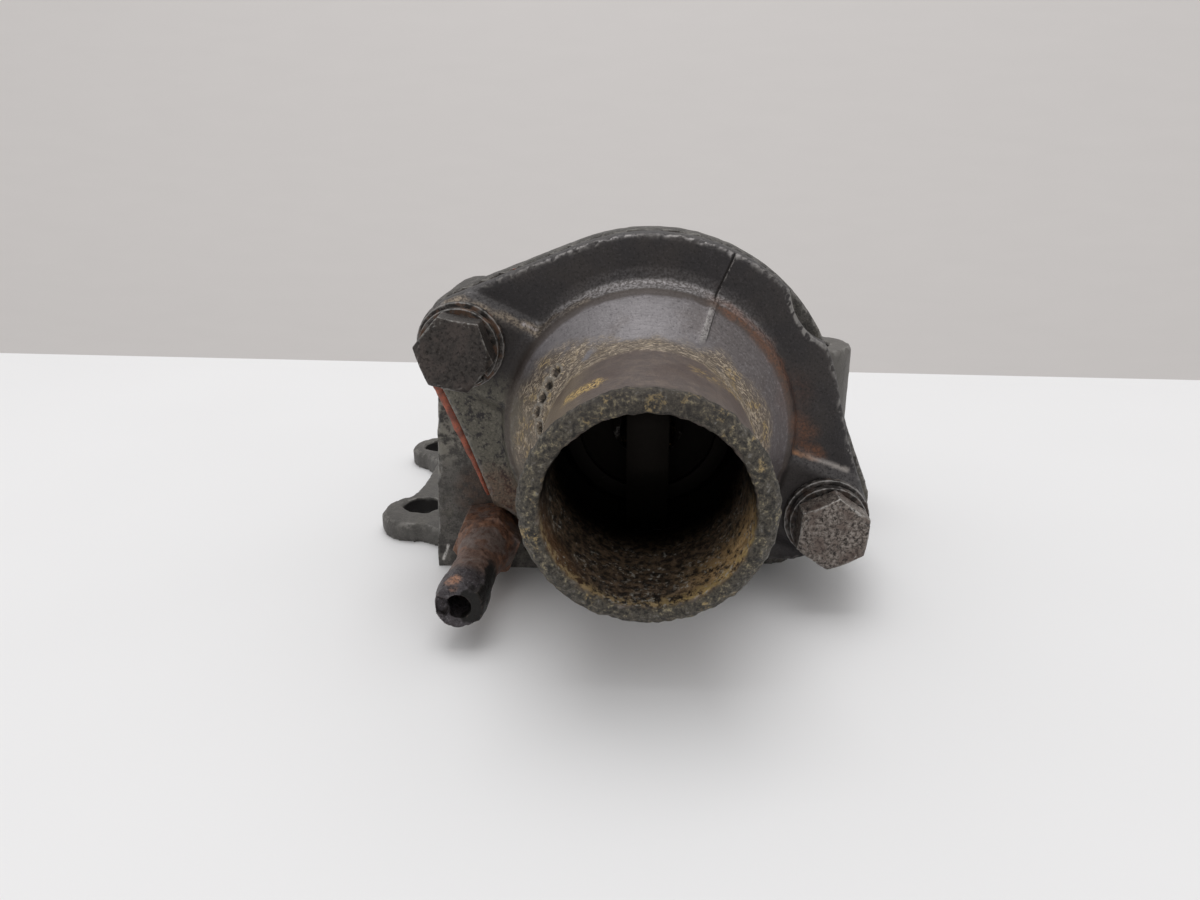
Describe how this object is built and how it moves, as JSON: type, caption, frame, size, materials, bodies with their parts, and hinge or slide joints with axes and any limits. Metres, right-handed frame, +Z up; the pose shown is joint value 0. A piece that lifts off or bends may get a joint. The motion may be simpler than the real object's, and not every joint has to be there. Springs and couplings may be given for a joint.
{
  "type": "thermostat housing",
  "caption": "Cast coolant thermostat housing with a bolted outlet cover, hose neck, hose nipple, fixing ears, tall bolt boss and a working wax valve inside.",
  "frame": {"origin": "a point on the flat base face, in the vertical plane of the valve's axis, 12 mm behind the joint face", "axes": "+Z up from the base face, +Y towards the engine side along the valve's axis, so that the hose neck points to -Y"},
  "size_m": [0.1156, 0.1212, 0.0724],
  "materials": {
    "cast_body": "rough cast, dulled and stained",
    "cast_cover": "cast, darkened by heat, with rust stains",
    "sealant": "matt cured sealant",
    "bolt_steel": "blackened and pitted",
    "washer_steel": "tarnished with rust in the gaps",
    "rusty_steel": "brown rust with a dull sheen",
    "plate_steel": "pressed sheet, stained by coolant",
    "spring_steel": "drawn wire, dull",
    "seal_rubber": "matt black rubber",
    "brass": "dull, browned brass"
  },
  "bodies": {
    "root": {"housing_body": "cast_body", "outlet_cover": "cast_cover", "joint_sealant": "sealant", "bolt_upper_left": "bolt_steel", "bolt_lower_right": "bolt_steel", "lock_washer_upper_left": "washer_steel", "lock_washer_lower_right": "washer_steel", "flat_washer_upper_left": "washer_steel", "flat_washer_lower_right": "washer_steel", "hose_nipple": "rusty_steel", "valve_plate": "plate_steel", "plate_seal": "seal_rubber", "piston_bridge": "plate_steel", "spring_frame": "plate_steel", "piston": "spring_steel", "main_spring": "spring_steel"},
    "valve": {"wax_capsule": "brass", "capsule_guide": "brass", "valve_disc": "plate_steel", "disc_clip": "spring_steel"},
    "jiggle": {"jiggle_pin": "brass"}
  },
  "joints": [
    {"name": "valve_lift", "type": "slide", "parent": "root", "child": "valve", "axis": [0, 1, 0], "range_m": [0, 0.008], "stiffness_N_per_m": 5000, "springref_m": -0.012, "deforming": ["main_spring"]},
    {"name": "jiggle_slide", "type": "slide", "parent": "root", "child": "jiggle", "axis": [0, -1, 0], "range_m": [0, 0.0012]}
  ]
}
